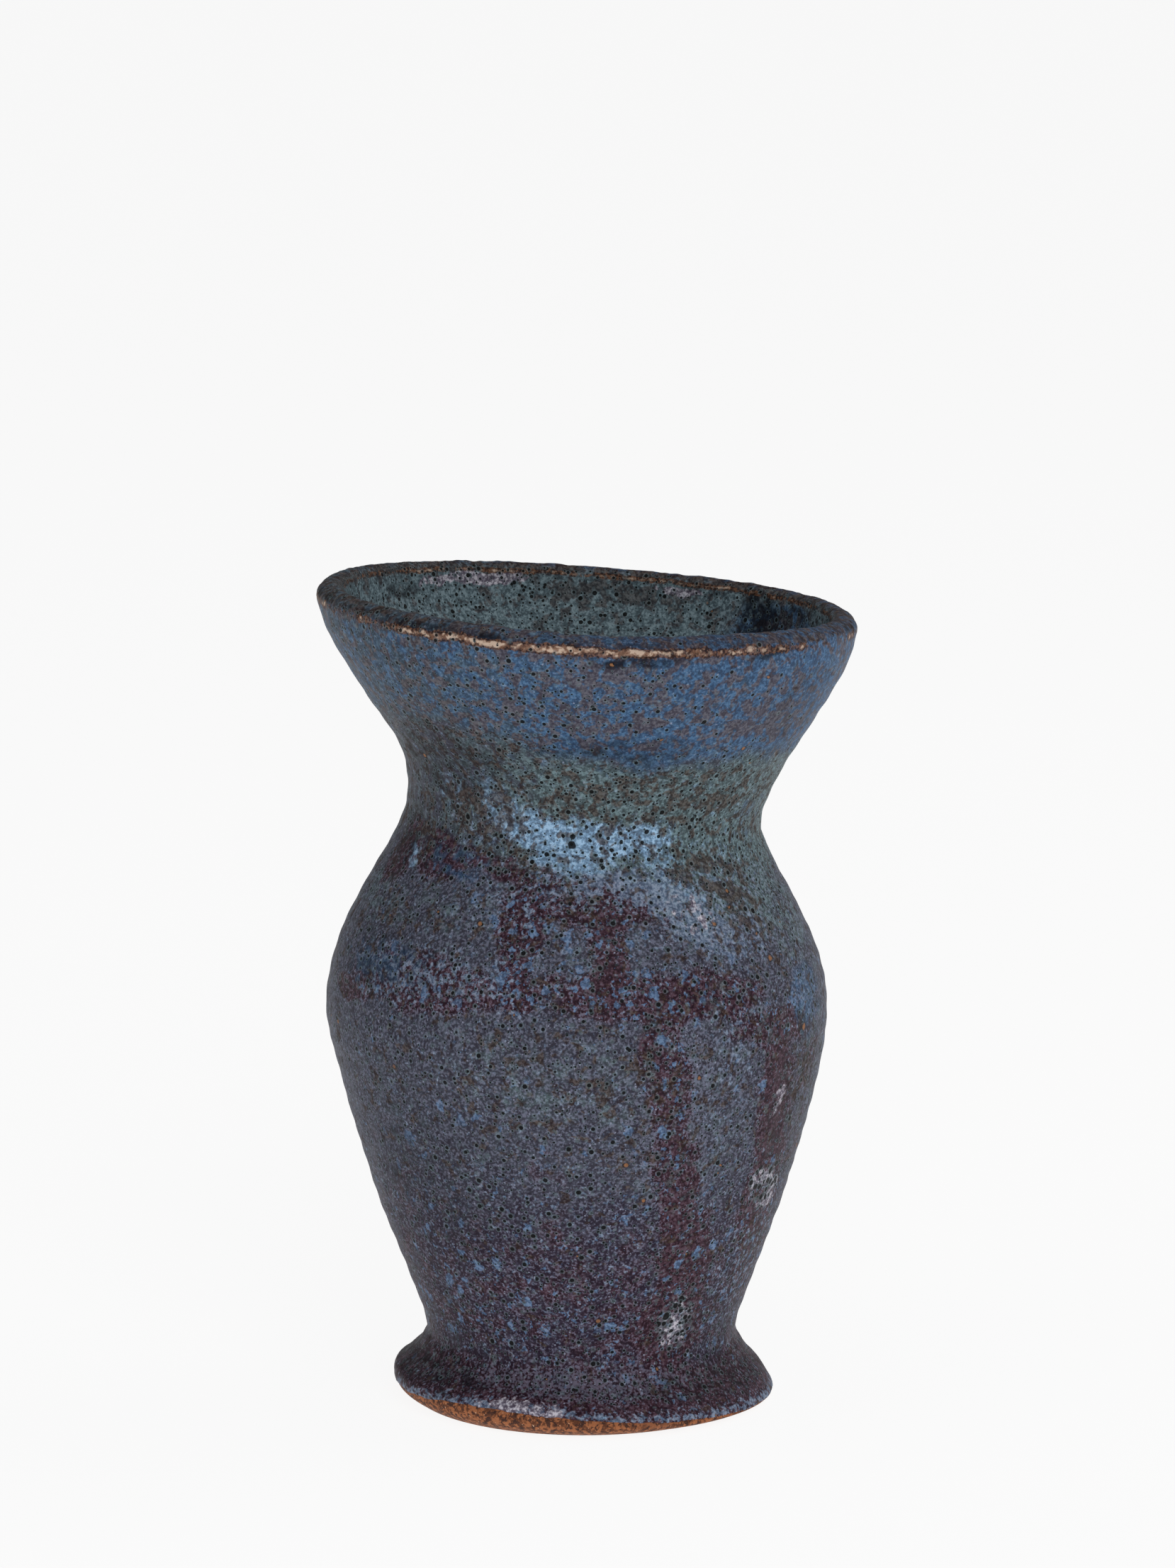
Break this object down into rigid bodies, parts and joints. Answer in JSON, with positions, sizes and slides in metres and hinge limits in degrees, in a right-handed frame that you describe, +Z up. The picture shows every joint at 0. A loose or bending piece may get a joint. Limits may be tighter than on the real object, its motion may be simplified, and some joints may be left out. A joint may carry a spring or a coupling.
{
  "type": "stoneware vase",
  "caption": "Small wheel-thrown stoneware vase: splayed foot with bare clay edge, full belly, pinched neck and flared collar, mottled blue and purple glazes.",
  "frame": {"origin": "under the centre of the lip, on the surface that the vase stands on; the foot's centre is 0.7 mm towards -X", "axes": "+Z up along the vase's axis; +X towards the side where the sections lean down; -Y faces the viewer"},
  "size_m": [0.098, 0.098, 0.1516],
  "materials": {
    "clay_body": "matte",
    "clay_collar": "matte",
    "liner_glaze": "satin",
    "lower_glaze": "satin",
    "upper_glaze": "satin",
    "lip_glaze": "satin",
    "glaze_runs": "satin",
    "foot_spill": "satin"
  },
  "bodies": {
    "root": {"clay_body": "clay_body", "clay_collar": "clay_collar", "liner_glaze": "liner_glaze", "lower_glaze": "lower_glaze", "upper_glaze": "upper_glaze", "lip_glaze": "lip_glaze", "glaze_runs": "glaze_runs", "foot_spill": "foot_spill"}
  },
  "joints": []
}
